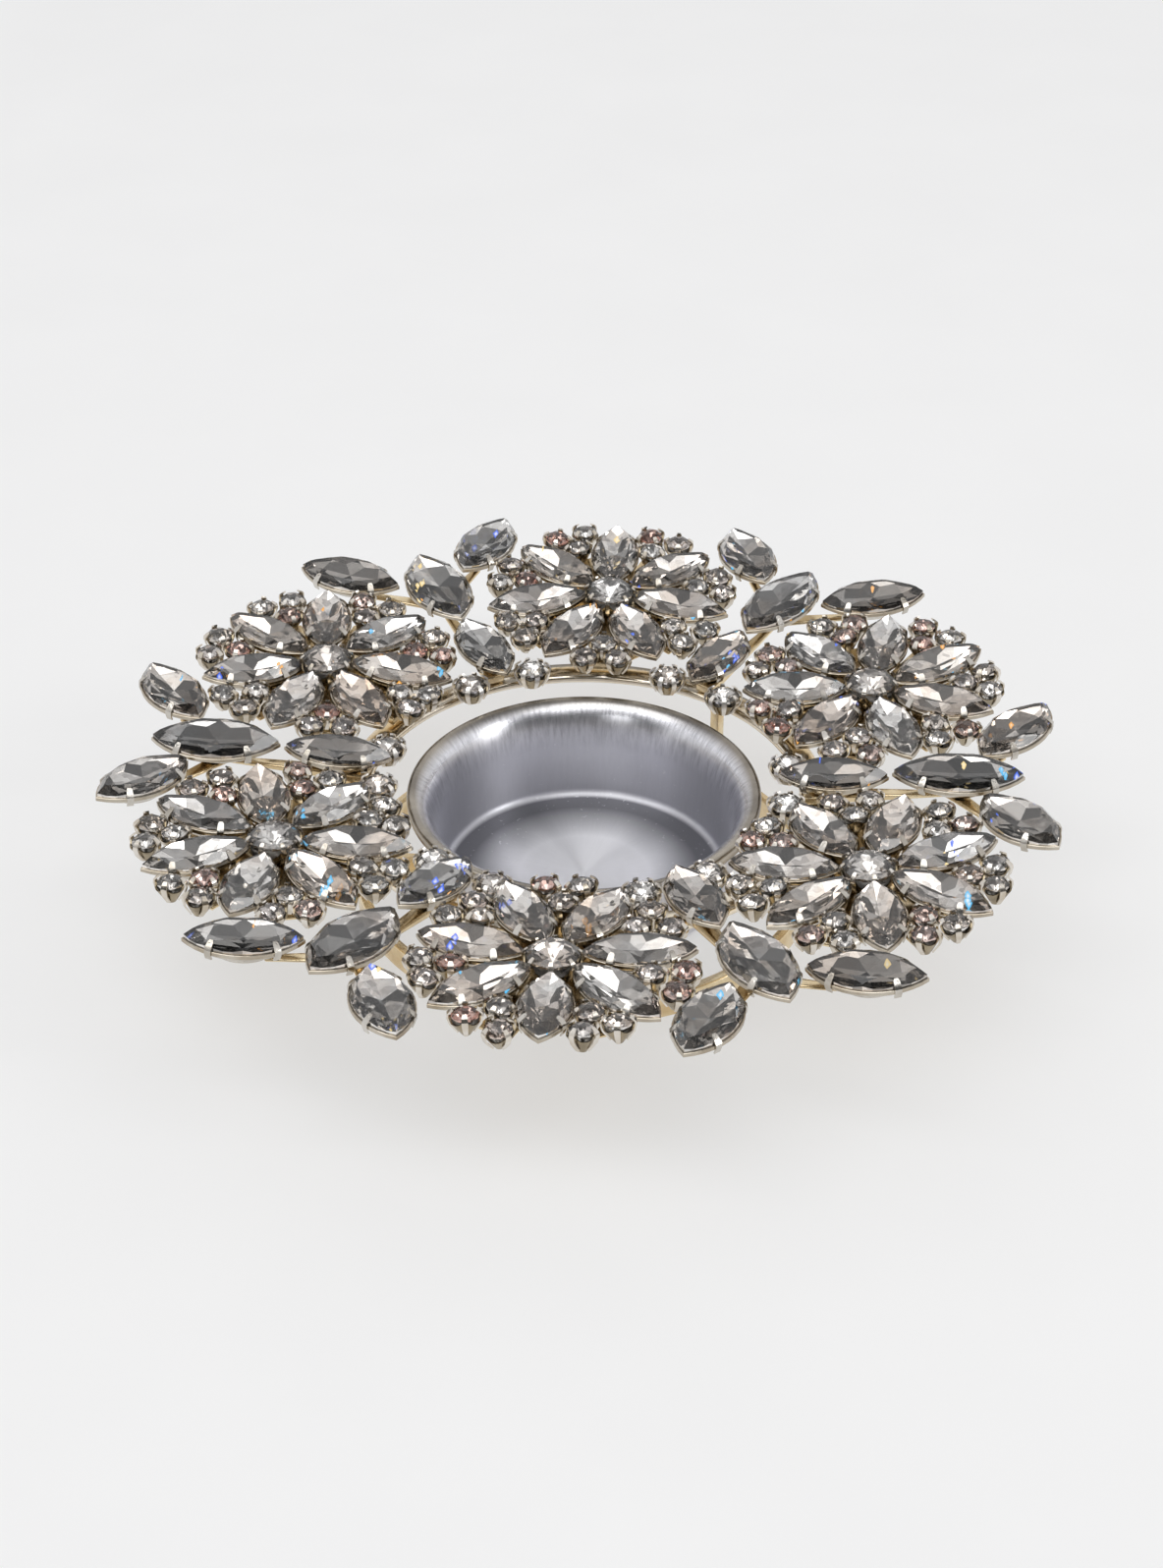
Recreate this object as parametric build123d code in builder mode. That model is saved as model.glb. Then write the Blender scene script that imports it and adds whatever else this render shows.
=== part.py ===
from build123d import *
import math
import os

# Candle ring: a wreath of faceted stones in claw settings, carried on a ring round a tealight cup.
# Millimetres and degrees. The origin is on the table, on the ring's axis, and a flower points along +Y.

# Stand
ring_radius = 30.8
ring_width = 4.0
ring_thickness = 1.2
ring_top = 16.6
foot_inset = 0.6
foot_wall = 1.5
foot_height = 3.6
leg_count = 3
leg_first_angle = 56.5
leg_width = 1.6
leg_flare = 1.4

# Tealight cup and the support under it
cup_radius = 21.0
cup_flare = 3.1
cup_flare_height = 3.6
cup_lip_width = 0.9
cup_lip_edge = 1.4
cup_wall = 0.8
cup_rim_rise = 0.3
support_lift = 0.4
support_thickness = 1.0
support_hub_radius = 9.0
support_arm_width = 5.0

# Wreath frames, dished towards the candle
segment_count = 6
dish_angle = 3.4
frame_thickness = 1.4
flower_circle = 46.9
petal_count = 7
arm_width = 3.2
stem_width = 3.0
frame_margin = 0.5
arm_setback = 6.0
leaf_hold = 3.0
solder_gap = 0.2

# Stones
petal_start = 3.7
petal_length = 15.0
petal_width = 7.0
middle_leaf_length = 18.0
middle_leaf_width = 9.0
outer_leaf_length = 15.5
outer_leaf_width = 8.0
inner_leaf_start = 28.0
leaf_gap = 1.0
fork_angle = 50.0
fork_setback = 5.6
fork_spread = 1.0
cluster_setback = 5.3
cluster_row_share = 1.5
cluster_cup_turn = 28.0
cluster_stone_radius = 1.85
centre_stone_radius = 3.6
ring_stone_radius = 2.35
ring_stone_inset = 1.5
ring_stone_angle = 20.3

# Claw settings
setting_wall = 0.35
setting_floor = 0.3
seat_clearance = 0.1
claw_overshoot = 1.5
navette_claw_height = 2.6
navette_crown = 1.5
navette_base_share = 0.7
pocket_ratio = 2.2
cup_claw_height = 3.5
cup_claw_reach = 0.6
cup_base_radius = 1.3
cup_gap = 0.5
crown_claw_height = 3.6
crown_claw_reach = 0.3
crown_base_share = 0.6
table_share = 0.6
round_crown_share = 0.5
cluster_crown_share = 0.55

# Values that follow from those above
segment_turn = 360 / segment_count
dish_rise = math.tan(math.radians(dish_angle))
foot_radius = ring_radius + foot_inset
cup_underside = support_lift + support_thickness
cup_rim = ring_top + cup_rim_rise
petal_distance = petal_start + petal_length / 2
half_petal_turn = 180 / petal_count
cluster_claw_radius = cluster_stone_radius + cup_claw_reach
ring_stone_circle = ring_radius - ring_stone_inset
centre_claw_radius = centre_stone_radius + crown_claw_reach
ring_claw_radius = ring_stone_radius + crown_claw_reach


def save(builder, name):
    """Label a finished piece and write it."""
    builder.part.label = name
    export_step(builder.part, f"parts/{name}.step")


def wreath_plane(angle, lift=0.0):
    """Plane of the dish at one angle round the ring: x runs outward from the ring's axis."""
    tilt = math.radians(dish_angle)
    turn = math.radians(angle)
    outward = Vector(math.cos(turn), math.sin(turn), 0)
    normal = outward * -math.sin(tilt) + Vector(0, 0, math.cos(tilt))
    along = outward * math.cos(tilt) + Vector(0, 0, math.sin(tilt))
    centre = Vector(0, 0, ring_top + solder_gap - ring_radius * dish_rise)
    return Plane(origin=centre + normal * lift, x_dir=along, z_dir=normal)


def faceted(*levels):
    """Solid with flat facets from each level of corners to the next; a point is a level of one corner."""
    facets = [level for level in (levels[0], levels[-1]) if len(level) > 1]
    for lower, upper in zip(levels, levels[1:]):
        for here in range(max(len(lower), len(upper))):
            there = here + 1
            pair = [lower[here % len(lower)], lower[there % len(lower)]]
            pair += [upper[there % len(upper)], upper[here % len(upper)]]
            facets.append(list(dict.fromkeys(pair)))
    return Solid(Shell([Face(Wire.make_polygon(corners)) for corners in facets]))


def polygon_level(sides, radius, height, turn=0.0):
    """Corners of a regular polygon at one height."""
    angles = [math.radians(turn + 360 / sides * index) for index in range(sides)]
    return [(radius * math.cos(angle), radius * math.sin(angle), height) for angle in angles]


def navette_shoulder(length, width):
    """Half width of a navette at a quarter of its length, on the arc between its tips."""
    arc_radius = (length**2 + width**2) / (4 * width)
    return math.sqrt(arc_radius**2 - (length / 4) ** 2) - arc_radius + width / 2


def tray_level(length, width, height, share=1.0):
    """Six corners of a navette's tray at one height: two tips and four shoulders."""
    shoulder = navette_shoulder(length, width)
    half = [(length / 2, 0), (length / 4, shoulder), (-length / 4, shoulder)]
    return [(x * share, y * share, height) for x, y in half + [(-x, -y) for x, y in half]]


def navette_level(length, width, height, share=1.0):
    """Eight corners of a navette at one height: two tips, four shoulders and the two widest points."""
    shoulder = navette_shoulder(length, width)
    half = [(length / 2, 0), (length / 4, shoulder), (0, width / 2), (-length / 4, shoulder)]
    return [(x * share, y * share, height) for x, y in half + [(-x, -y) for x, y in half]]


def pocket_reach(length, width):
    """Half length and half width of the pocket that meets the tray's shoulders at the claw tips."""
    outer_length = length + 2 * setting_wall
    shoulder = navette_shoulder(outer_length, width + 2 * setting_wall)
    across = outer_length / 4 / pocket_ratio + shoulder
    return across * pocket_ratio, across


def navette_setting(length, width):
    """Flared tray with a pointed pocket, whose four shoulders rise past the stone as claws."""
    outer_length = length + 2 * setting_wall
    outer_width = width + 2 * setting_wall
    top = navette_claw_height * claw_overshoot
    top_share = navette_base_share + (1 - navette_base_share) * claw_overshoot
    pocket_share = (top - setting_floor) / (navette_claw_height - setting_floor)
    along, across = [reach * pocket_share for reach in pocket_reach(length, width)]
    base = tray_level(outer_length, outer_width, 0, navette_base_share)
    mouth = tray_level(outer_length, outer_width, top, top_share)
    pocket_mouth = [(along, 0, top), (0, across, top), (-along, 0, top), (0, -across, top)]
    with BuildPart() as tray:
        add(faceted(base, mouth))
        add(faceted([(0, 0, setting_floor)], pocket_mouth), mode=Mode.SUBTRACT)
    return tray.part


def navette_stone(length, width):
    """Pointed-back navette: eight pavilion facets, eight crown facets and a table."""
    along, across = pocket_reach(length, width)
    shoulder = navette_shoulder(length, width)
    depth = (length / 4 / along + shoulder / across) * (navette_claw_height - setting_floor)
    culet = setting_floor + seat_clearance
    girdle = culet + depth
    belt = navette_level(length, width, girdle)
    table = navette_level(length, width, girdle + navette_crown, table_share)
    with BuildPart() as stone:
        add(faceted([(0, 0, culet)], belt, table))
    return stone.part


def round_setting(sides, base_radius, claw_radius, claw_height):
    """Flared cup whose corners rise as claws between the notches of a turned, pointed pocket."""
    top = claw_height * claw_overshoot
    mouth_radius = base_radius + (claw_radius - base_radius) * claw_overshoot
    pocket_share = (top - setting_floor) / (claw_height - setting_floor)
    pocket_radius = claw_radius / math.cos(math.pi / sides) * pocket_share
    pocket_mouth = polygon_level(sides, pocket_radius, top, 180 / sides)
    with BuildPart() as cup:
        add(faceted(polygon_level(sides, base_radius, 0), polygon_level(sides, mouth_radius, top)))
        add(faceted([(0, 0, setting_floor)], pocket_mouth), mode=Mode.SUBTRACT)
    return cup.part


def round_stone(sides, radius, claw_radius, claw_height):
    """Pointed-back round stone with a table, seated where the pocket is as wide as its girdle."""
    culet = setting_floor + seat_clearance
    girdle = culet + (claw_height - setting_floor) * radius / claw_radius
    table = polygon_level(sides, radius * table_share, girdle + radius * round_crown_share)
    with BuildPart() as stone:
        add(faceted([(0, 0, culet)], polygon_level(sides, radius, girdle), table))
    return stone.part


def rose_stone(sides, radius, claw_radius, claw_height):
    """Small round stone whose facets run to a point above as well as below."""
    culet = setting_floor + seat_clearance
    girdle = culet + (claw_height - setting_floor) * radius / claw_radius
    peak = girdle + radius * cluster_crown_share
    with BuildPart() as stone:
        add(faceted([(0, 0, culet)], polygon_level(sides, radius, girdle), [(0, 0, peak)]))
    return stone.part


os.makedirs("parts", exist_ok=True)

# Upper ring: a flat band with a tab under each ring stone
tab_half_width = ring_claw_radius * crown_base_share - frame_margin
tab_end = ring_stone_circle - tab_half_width
with BuildPart() as upper_ring:
    with BuildSketch(Plane.XY.offset(ring_top - ring_thickness)):
        Circle(ring_radius + ring_width)
        Circle(ring_radius, mode=Mode.SUBTRACT)
        for side in (-1, 1):
            start = 90 + side * ring_stone_angle
            with PolarLocations(tab_end, segment_count, start_angle=start):
                tab_length = ring_radius + ring_width / 2 - tab_end
                Rectangle(tab_length, 2 * tab_half_width, align=(Align.MIN, Align.CENTER))
    extrude(amount=ring_thickness)
save(upper_ring, "upper_ring")

# Foot band that stands on the table
with BuildPart() as foot_ring:
    with BuildSketch():
        Circle(foot_radius + foot_wall)
        Circle(foot_radius, mode=Mode.SUBTRACT)
    extrude(amount=foot_height)
save(foot_ring, "foot_ring")

# Legs between the foot band and the upper ring, flared at the top
leg_height = ring_top - ring_thickness - foot_height
leg_half = leg_width / 2
for number in range(1, leg_count + 1):
    leg_turn = math.radians(leg_first_angle + 360 / leg_count * (number - 1))
    outward = Vector(math.cos(leg_turn), math.sin(leg_turn), 0)
    leg_foot = outward * foot_radius + Vector(0, 0, foot_height)
    with BuildPart() as leg:
        with BuildSketch(Plane(origin=leg_foot, x_dir=Vector(0, 0, 1), z_dir=outward)):
            Polygon(
                (0, -leg_half),
                (leg_height - leg_flare, -leg_half),
                (leg_height, -leg_half - leg_flare),
                (leg_height, leg_half + leg_flare),
                (leg_height - leg_flare, leg_half),
                (0, leg_half),
                align=None,
            )
        extrude(amount=foot_wall)
    save(leg, f"leg_{number}")

# Support under the cup: a hub with one arm to the foot band below each leg
support_reach = math.sqrt((foot_radius - solder_gap) ** 2 - (support_arm_width / 2) ** 2)
with BuildPart() as cup_support:
    with BuildSketch(Plane.XY.offset(support_lift)):
        RegularPolygon(support_hub_radius, 2 * leg_count)
        with PolarLocations(0, leg_count, start_angle=leg_first_angle):
            Rectangle(support_reach, support_arm_width, align=(Align.MIN, Align.CENTER))
    extrude(amount=support_thickness)
save(cup_support, "cup_support")

# Tealight cup: a drawn cup with a flared mouth and a turned-down lip
cup_floor = cup_underside + cup_wall
with BuildPart() as tealight_cup:
    with BuildSketch(Plane.XZ):
        with BuildLine():
            Polyline(
                (0, cup_floor),
                (cup_radius, cup_floor),
                (cup_radius, cup_rim - cup_flare_height),
                (cup_radius + cup_flare, cup_rim),
                (cup_radius + cup_flare + cup_lip_width, cup_rim - cup_lip_edge),
                (cup_radius + cup_wall, cup_rim - cup_flare_height - cup_wall),
                (cup_radius + cup_wall, cup_underside),
                (0, cup_underside),
                close=True,
            )
        make_face()
    revolve(axis=Axis.Z)
save(tealight_cup, "tealight_cup")

# One of each stone and setting, standing on its own base
petal_setting = navette_setting(petal_length, petal_width)
petal_stone = navette_stone(petal_length, petal_width)
middle_setting = navette_setting(middle_leaf_length, middle_leaf_width)
middle_stone = navette_stone(middle_leaf_length, middle_leaf_width)
outer_setting = navette_setting(outer_leaf_length, outer_leaf_width)
outer_stone = navette_stone(outer_leaf_length, outer_leaf_width)
cluster_cup = round_setting(4, cup_base_radius, cluster_claw_radius, cup_claw_height)
cluster_stone = rose_stone(6, cluster_stone_radius, cluster_claw_radius, cup_claw_height)
centre_cup = round_setting(8, centre_claw_radius * crown_base_share, centre_claw_radius, crown_claw_height)
centre_stone = round_stone(8, centre_stone_radius, centre_claw_radius, crown_claw_height)
ring_cup = round_setting(6, ring_claw_radius * crown_base_share, ring_claw_radius, crown_claw_height)
ring_stone = round_stone(6, ring_stone_radius, ring_claw_radius, crown_claw_height)

# Where the stones of one flower and one sprig stand on their frames
cup_room = petal_width / 2 + setting_wall + cluster_claw_radius * math.cos(math.pi / 4) + cup_gap / 2
petal_tip = petal_start + petal_length
cluster_near = max(cup_room / math.sin(math.radians(half_petal_turn)), petal_tip - cluster_setback)
cluster_half_pitch = cluster_claw_radius
cluster_far = cluster_near + cluster_claw_radius * cluster_row_share
cluster_spots = [
    Location((cluster_near, 0), (0, 0, 0)),
    Location((cluster_far, cluster_half_pitch), (0, 0, -cluster_cup_turn)),
    Location((cluster_far, -cluster_half_pitch), (0, 0, cluster_cup_turn)),
]
cluster_end = cluster_far - frame_margin
cluster_half_width = cluster_half_pitch + frame_margin
cluster_arm_root = stem_width / 2

inner_leaf_at = inner_leaf_start + petal_length / 2
middle_leaf_at = inner_leaf_start + petal_length + leaf_gap + middle_leaf_length / 2
fork_root_along = middle_leaf_at + middle_leaf_length / 2 - fork_setback
fork_root_aside = middle_leaf_width / 2 + fork_spread
fork_turn = math.radians(fork_angle)
outer_leaf_at = fork_root_along + outer_leaf_length / 2 * math.cos(fork_turn)
outer_leaf_aside = fork_root_aside + outer_leaf_length / 2 * math.sin(fork_turn)
sprig_leaves = [
    (petal_setting, petal_stone, Location((inner_leaf_at, 0))),
    (middle_setting, middle_stone, Location((middle_leaf_at, 0))),
    (outer_setting, outer_stone, Location((outer_leaf_at, outer_leaf_aside), (0, 0, fork_angle))),
    (outer_setting, outer_stone, Location((outer_leaf_at, -outer_leaf_aside), (0, 0, -fork_angle))),
]
fork_start = outer_leaf_at - outer_leaf_aside / math.tan(fork_turn)
outer_base_half = (outer_leaf_length / 2 + setting_wall) * navette_base_share
fork_length = outer_leaf_aside / math.sin(fork_turn) - outer_base_half + leaf_hold

for number in range(1, segment_count + 1):
    flower_angle = 90 - segment_turn * (number - 1)
    sprig_angle = flower_angle - segment_turn / 2

    # Flower frame: an arm under each petal, a widening arm under each cluster and a stem to the ring
    with BuildPart() as flower_frame:
        with BuildSketch(wreath_plane(flower_angle)):
            with Locations((ring_radius + frame_margin, 0)):
                stem_length = flower_circle - ring_radius - frame_margin
                Rectangle(stem_length, stem_width, align=(Align.MIN, Align.CENTER))
            with Locations((flower_circle, 0)):
                with PolarLocations(0, petal_count):
                    Rectangle(petal_tip - arm_setback, arm_width, align=(Align.MIN, Align.CENTER))
                with PolarLocations(0, petal_count, start_angle=half_petal_turn):
                    Polygon(
                        (0, -cluster_arm_root),
                        (cluster_end, -cluster_half_width),
                        (cluster_end, cluster_half_width),
                        (0, cluster_arm_root),
                        align=None,
                    )
        extrude(amount=frame_thickness)
    save(flower_frame, f"flower_frame_{number}")

    stones_plane = wreath_plane(flower_angle, frame_thickness)
    with BuildPart(stones_plane) as petal_settings:
        with Locations((flower_circle, 0)):
            with PolarLocations(petal_distance, petal_count):
                add(petal_setting)
    save(petal_settings, f"petal_settings_{number}")

    with BuildPart(stones_plane) as petal_stones:
        with Locations((flower_circle, 0)):
            with PolarLocations(petal_distance, petal_count):
                add(petal_stone)
    save(petal_stones, f"petal_stones_{number}")

    with BuildPart(stones_plane) as cluster_settings:
        with Locations((flower_circle, 0)):
            with PolarLocations(0, petal_count, start_angle=half_petal_turn):
                with Locations(*cluster_spots):
                    add(cluster_cup)
    save(cluster_settings, f"cluster_settings_{number}")

    with BuildPart(stones_plane) as cluster_stones:
        with Locations((flower_circle, 0)):
            with PolarLocations(0, petal_count, start_angle=half_petal_turn):
                with Locations(*cluster_spots):
                    add(cluster_stone)
    save(cluster_stones, f"cluster_stones_{number}")

    # Sprig frame: a stem from the ring with two arms forking off under the outer leaves
    with BuildPart() as sprig_frame:
        with BuildSketch(wreath_plane(sprig_angle)):
            with Locations((ring_radius + frame_margin, 0)):
                sprig_length = fork_start + stem_width / 2 - ring_radius - frame_margin
                Rectangle(sprig_length, stem_width, align=(Align.MIN, Align.CENTER))
            for turn in (fork_angle, -fork_angle):
                with Locations(Location((fork_start, 0), (0, 0, turn))):
                    Rectangle(fork_length, stem_width, align=(Align.MIN, Align.CENTER))
        extrude(amount=frame_thickness)
    save(sprig_frame, f"sprig_frame_{number}")

    with BuildPart(wreath_plane(sprig_angle, frame_thickness)) as leaf_settings:
        for setting, stone, spot in sprig_leaves:
            with Locations(spot):
                add(setting)
    save(leaf_settings, f"leaf_settings_{number}")

    with BuildPart(wreath_plane(sprig_angle, frame_thickness)) as leaf_stones:
        for setting, stone, spot in sprig_leaves:
            with Locations(spot):
                add(stone)
    save(leaf_stones, f"leaf_stones_{number}")

# Flower centres, one on each frame
flower_planes = [wreath_plane(90 - segment_turn * index, frame_thickness) for index in range(segment_count)]
with BuildPart(*flower_planes) as centre_settings:
    with Locations((flower_circle, 0)):
        add(centre_cup)
save(centre_settings, "centre_settings")

with BuildPart(*flower_planes) as centre_stones:
    with Locations((flower_circle, 0)):
        add(centre_stone)
save(centre_stones, "centre_stones")

# Ring stones, a pair on the upper ring beside each flower
with BuildPart(Plane.XY.offset(ring_top + solder_gap)) as ring_settings:
    for side in (-1, 1):
        start = 90 + side * ring_stone_angle
        with PolarLocations(ring_stone_circle, segment_count, start_angle=start):
            add(ring_cup)
save(ring_settings, "ring_settings")

with BuildPart(Plane.XY.offset(ring_top + solder_gap)) as ring_stones:
    for side in (-1, 1):
        start = 90 + side * ring_stone_angle
        with PolarLocations(ring_stone_circle, segment_count, start_angle=start):
            add(ring_stone)
save(ring_stones, "ring_stones")
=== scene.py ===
import math
import random
from dataclasses import dataclass

import bmesh
import bpy
from mathutils import Matrix, Vector


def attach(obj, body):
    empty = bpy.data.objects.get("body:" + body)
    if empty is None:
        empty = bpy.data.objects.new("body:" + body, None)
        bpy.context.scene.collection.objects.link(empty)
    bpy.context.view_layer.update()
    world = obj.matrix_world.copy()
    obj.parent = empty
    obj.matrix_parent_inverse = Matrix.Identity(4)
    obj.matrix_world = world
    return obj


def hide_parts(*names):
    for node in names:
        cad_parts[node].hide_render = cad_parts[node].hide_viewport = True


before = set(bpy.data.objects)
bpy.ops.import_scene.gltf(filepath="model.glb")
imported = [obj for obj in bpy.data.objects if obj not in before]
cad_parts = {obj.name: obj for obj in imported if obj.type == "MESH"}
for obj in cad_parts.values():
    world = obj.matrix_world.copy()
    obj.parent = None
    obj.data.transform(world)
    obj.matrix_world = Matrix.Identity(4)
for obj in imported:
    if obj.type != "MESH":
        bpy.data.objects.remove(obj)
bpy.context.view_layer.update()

dice = random.Random(7)

# Sizes in millimetres and angles in degrees, as in the part
MM = 0.001
RING_RADIUS = 30.8
RING_TOP = 16.6
RING_WIDTH = 4.0
RING_THICKNESS = 1.2
DISH_ANGLE = 3.4
FRAME_THICKNESS = 1.4
SOLDER_GAP = 0.2
SEGMENTS = 6
PETALS = 7
FLOWER_CIRCLE = 46.9
PETAL_START = 3.7
PETAL_LENGTH = 15.0
PETAL_WIDTH = 7.0
MIDDLE_LEAF_LENGTH = 18.0
MIDDLE_LEAF_WIDTH = 9.0
OUTER_LEAF_LENGTH = 15.5
OUTER_LEAF_WIDTH = 8.0
INNER_LEAF_START = 28.0
LEAF_GAP = 1.0
FORK_ANGLE = 50.0
FORK_SETBACK = 5.6
FORK_SPREAD = 1.0
SETTING_WALL = 0.35
CLUSTER_STONE_RADIUS = 1.85
CLUSTER_CLAW_REACH = 0.6
CLUSTER_GAP = 0.5
CLUSTER_ROW_SHARE = 1.5
CLUSTER_CUP_TURN = 28.0
CENTRE_STONE_RADIUS = 3.6
RING_STONE_RADIUS = 2.35
RING_STONE_INSET = 1.5
RING_STONE_ANGLE = 20.3

# Stones and cups of the finish
NAVETTE_GIRDLE = 2.5
NAVETTE_CULET = 0.45
CLUSTER_GIRDLE = 2.8
CENTRE_GIRDLE = 3.2
RING_GIRDLE = 2.5
CLUSTER_FOOT = 0.6
CENTRE_FOOT = 2.3
RING_FOOT = 1.4
CLUSTER_CLAWS = 4
CENTRE_CLAWS = 8
RING_CLAWS = 8

# Where the painted light rim of a stone's back starts, as a share of the way from its point to its girdle
RIM_SHARE = 0.72

# Reach of the tealight cup's shading, and the radii between which it turns to bronze with painted shade
CUP_SHADING_HEIGHT = 17.0
CUP_SHADING_RADIUS = 25.0
BRONZE_AND_SHADE_START = 22.8
BRONZE_AND_SHADE_END = 24.2

# Softened edges, and the frames' thinner, narrower and shorter arms outside a radius
RING_EDGE = 0.3
FRAME_EDGE = 0.3
FOOT_EDGE = 0.25
THIN_FROM = 35.5
FRAME_END_THICKNESS = 0.6
ARM_END_SHARE = 0.4
CLUSTER_ARM_SHARE = 0.88

# Places that follow from those sizes
SEGMENT_TURN = 360 / SEGMENTS
PETAL_TURN = 360 / PETALS
PETAL_DISTANCE = PETAL_START + PETAL_LENGTH / 2
CLUSTER_CLAW_RADIUS = CLUSTER_STONE_RADIUS + CLUSTER_CLAW_REACH
CLUSTER_ROOM = PETAL_WIDTH / 2 + SETTING_WALL + CLUSTER_CLAW_RADIUS * math.sqrt(0.5) + CLUSTER_GAP / 2
CLUSTER_NEAR = CLUSTER_ROOM / math.sin(math.radians(PETAL_TURN / 2))
CLUSTER_FAR = CLUSTER_NEAR + CLUSTER_CLAW_RADIUS * CLUSTER_ROW_SHARE
INNER_LEAF_OUT = INNER_LEAF_START + PETAL_LENGTH / 2
MIDDLE_LEAF_START = INNER_LEAF_START + PETAL_LENGTH + LEAF_GAP
MIDDLE_LEAF_OUT = MIDDLE_LEAF_START + MIDDLE_LEAF_LENGTH / 2
FORK_OUT = MIDDLE_LEAF_START + MIDDLE_LEAF_LENGTH - FORK_SETBACK
FORK_ASIDE = MIDDLE_LEAF_WIDTH / 2 + FORK_SPREAD
OUTER_LEAF_OUT = FORK_OUT + OUTER_LEAF_LENGTH / 2 * math.cos(math.radians(FORK_ANGLE))
OUTER_LEAF_ASIDE = FORK_ASIDE + OUTER_LEAF_LENGTH / 2 * math.sin(math.radians(FORK_ANGLE))
RING_STONE_CIRCLE = RING_RADIUS - RING_STONE_INSET


def upright(height):
    return Vector((0, 0, height))


class Shape:
    """Corners and faces of a piece, before its mesh is made. A face has a material, a tint and a spread."""

    def __init__(self):
        self.corners = []
        self.faces = []
        self.materials = []
        self.tints = []
        self.spreads = []

    def face(self, indices, material=0, tint=(1, 1, 1, 0), spread=1.0):
        self.faces.append(tuple(indices))
        self.materials.append(material)
        self.tints.append(tint)
        self.spreads.append(spread)

    def add(self, other, matrix, tint=None):
        """Copy of another shape, moved, with its facets tinted anew if there is a tint."""
        start = len(self.corners)
        self.corners += [matrix @ corner for corner in other.corners]
        for indices, material, own, spread in zip(other.faces, other.materials, other.tints, other.spreads):
            colour = tint(material, spread) if tint else own
            self.face([start + index for index in indices], material, colour, spread)

    def add_corners(self, rings):
        start = len(self.corners)
        for ring in rings:
            self.corners += [Vector(point) for point in ring]
        return start

    def strip(self, low, high, count, material=0):
        """Faces between two rings of corners."""
        for here in range(count):
            there = (here + 1) % count
            self.face([low + here, low + there, high + there, high + here], material)

    def rings(self, rings, hollow_from=None, outside=0):
        """Closed skin over rings of corners. From ring hollow_from on, it has a hollow's material."""
        start = self.add_corners(rings)
        count = len(rings[0])
        inside = outside if hollow_from is None else 1
        for level in range(len(rings) - 1):
            low = start + level * count
            hollow = hollow_from is not None and level >= hollow_from
            self.strip(low, low + count, count, inside if hollow else outside)
        self.face([start + index for index in reversed(range(count))], outside)
        last = start + (len(rings) - 1) * count
        self.face([last + index for index in range(count)], inside)

    def band(self, rings):
        """Skin over rings that come back to the first one."""
        start = self.add_corners(rings)
        count = len(rings[0])
        for level in range(len(rings)):
            following = (level + 1) % len(rings)
            self.strip(start + level * count, start + following * count, count)

    def build(self, name, materials, sharp):
        """Object made of the shape, smooth but for edges over the sharp angle."""
        mesh = bpy.data.meshes.new(name)
        mesh.from_pydata([corner * MM for corner in self.corners], [], self.faces)
        for material in materials:
            mesh.materials.append(material)
        mesh.polygons.foreach_set("material_index", self.materials)
        mesh.polygons.foreach_set("use_smooth", [True] * len(self.faces))
        tint = mesh.color_attributes.new("tint", "FLOAT_COLOR", "CORNER")
        for polygon, colour in zip(mesh.polygons, self.tints):
            for loop in polygon.loop_indices:
                tint.data[loop].color = colour
        mesh.validate()
        mesh.set_sharp_from_angle(angle=math.radians(sharp))
        piece = bpy.data.objects.new(name, mesh)
        bpy.context.scene.collection.objects.link(piece)
        return piece


def stand(piece, node_name):
    """Put a piece in the place of a CAD node."""
    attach(piece, "root")
    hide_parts(node_name)


# Shader nodes

def new_material(name):
    material = bpy.data.materials.new(name)
    material.use_nodes = True
    tree = material.node_tree
    return material, tree, tree.nodes["Principled BSDF"]


def node(tree, kind, **inputs):
    made = tree.nodes.new(kind)
    for key, value in inputs.items():
        made.inputs[key].default_value = value
    return made


def object_place(tree):
    return tree.nodes.new("ShaderNodeTexCoord").outputs["Object"]


def facet_tint(tree):
    """Colour that each facet was given, with painted shade and light on the long stones' backs, and its
    share of painted flashes as alpha.
    """
    made = tree.nodes.new("ShaderNodeVertexColor")
    made.layer_name = "tint"
    return made.outputs


def noise(tree, scale, detail=4.0):
    made = node(tree, "ShaderNodeTexNoise", Scale=scale, Detail=detail)
    tree.links.new(object_place(tree), made.inputs["Vector"])
    return made.outputs["Fac"]


def cells(tree, place, scale, distance="EUCLIDEAN"):
    """Cells with one random colour each: their distance and the parts of their colour."""
    made = node(tree, "ShaderNodeTexVoronoi", Scale=scale)
    made.distance = distance
    tree.links.new(place, made.inputs["Vector"])
    parts = tree.nodes.new("ShaderNodeSeparateColor")
    tree.links.new(made.outputs["Color"], parts.inputs["Color"])
    return made.outputs["Distance"], parts.outputs


def stretched(tree, place, scale):
    made = node(tree, "ShaderNodeMapping", Scale=scale)
    tree.links.new(place, made.inputs["Vector"])
    return made.outputs["Vector"]


def combined(tree, **parts):
    made = tree.nodes.new("ShaderNodeCombineXYZ")
    for axis, source in parts.items():
        tree.links.new(source, made.inputs[axis])
    return made.outputs["Vector"]


def ramp(tree, source, stops, interpolation="LINEAR"):
    made = tree.nodes.new("ShaderNodeValToRGB")
    made.color_ramp.interpolation = interpolation
    elements = made.color_ramp.elements
    while len(elements) < len(stops):
        elements.new(0.5)
    for element, (place, colour) in zip(elements, stops):
        element.position = place
        element.color = (*colour, 1)
    tree.links.new(source, made.inputs["Fac"])
    return made.outputs["Color"]


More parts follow.
